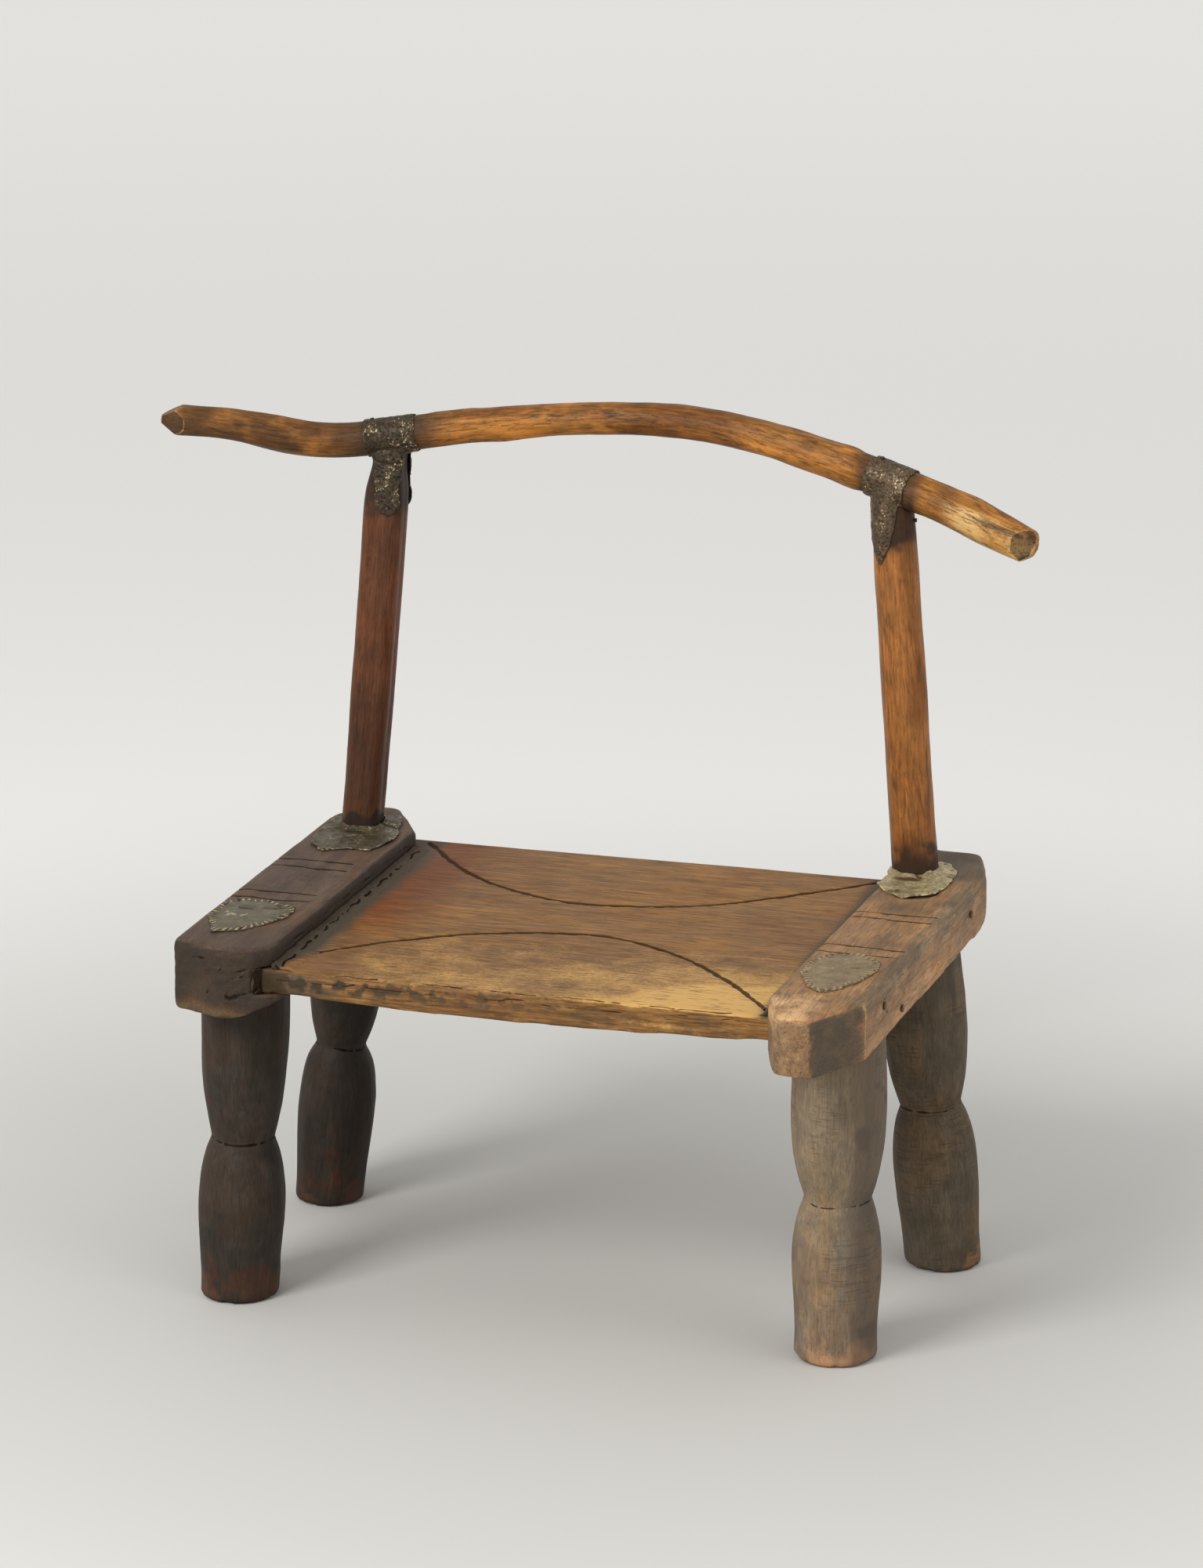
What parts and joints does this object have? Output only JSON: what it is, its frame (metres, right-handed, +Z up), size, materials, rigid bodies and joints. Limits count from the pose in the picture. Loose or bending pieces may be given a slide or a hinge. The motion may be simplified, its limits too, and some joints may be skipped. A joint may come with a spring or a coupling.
{
  "type": "birthing chair",
  "caption": "Low wooden birthing chair: plank seat between end rails, waisted legs, and a bent branch backrest strapped to posts.",
  "frame": {"origin": "on the floor, under the middle of the chair's box", "axes": "+Z up, the sitter faces -Y, +X to the right when looking along +Y from in front of the chair"},
  "size_m": [0.6171, 0.4003, 0.575],
  "materials": {
    "seat_wood": "golden-brown hardwood, adzed and worn smooth, fine grain along the seat",
    "left_rail_wood": "dark purple-brown hardwood, worn grey on the edges",
    "right_rail_wood": "reddish grey-brown hardwood, worn grey on the edges",
    "left_leg_wood": "very dark brown hardwood, smooth",
    "right_leg_wood": "grey-brown hardwood with orange-brown worn feet",
    "left_upright_wood": "reddish-brown hardwood",
    "right_upright_wood": "golden-brown hardwood, blackened at its foot",
    "branch_wood": "golden-brown peeled branch with dark streaks",
    "strap_metal": "dark gunmetal sheet iron, hammered",
    "patch_tin": "dull olive-grey tinned sheet",
    "collar_metal": "dull crumpled sheet, worn bright on its folds",
    "tack_iron": "dark iron, hand-made",
    "pitch": "dark grey pitch or resin, matt"
  },
  "bodies": {
    "root": {"seat_plank": "seat_wood", "left_rail": "left_rail_wood", "right_rail": "right_rail_wood", "front_left_leg": "left_leg_wood", "rear_left_leg": "left_leg_wood", "front_right_leg": "right_leg_wood", "rear_right_leg": "right_leg_wood", "left_upright": "left_upright_wood", "right_upright": "right_upright_wood", "backrest_branch": "branch_wood", "left_saddle_strap": "strap_metal", "right_saddle_strap": "strap_metal", "left_strap_tacks": "tack_iron", "right_strap_tacks": "tack_iron", "front_left_patch": "patch_tin", "front_right_patch": "patch_tin", "front_left_patch_tacks": "tack_iron", "front_right_patch_tacks": "tack_iron", "rear_left_collar": "collar_metal", "rear_right_collar": "collar_metal", "rear_left_collar_tacks": "tack_iron", "rear_right_collar_tacks": "tack_iron", "right_rail_nails": "tack_iron", "left_seam_filler": "pitch", "right_seam_filler": "pitch"}
  },
  "joints": []
}
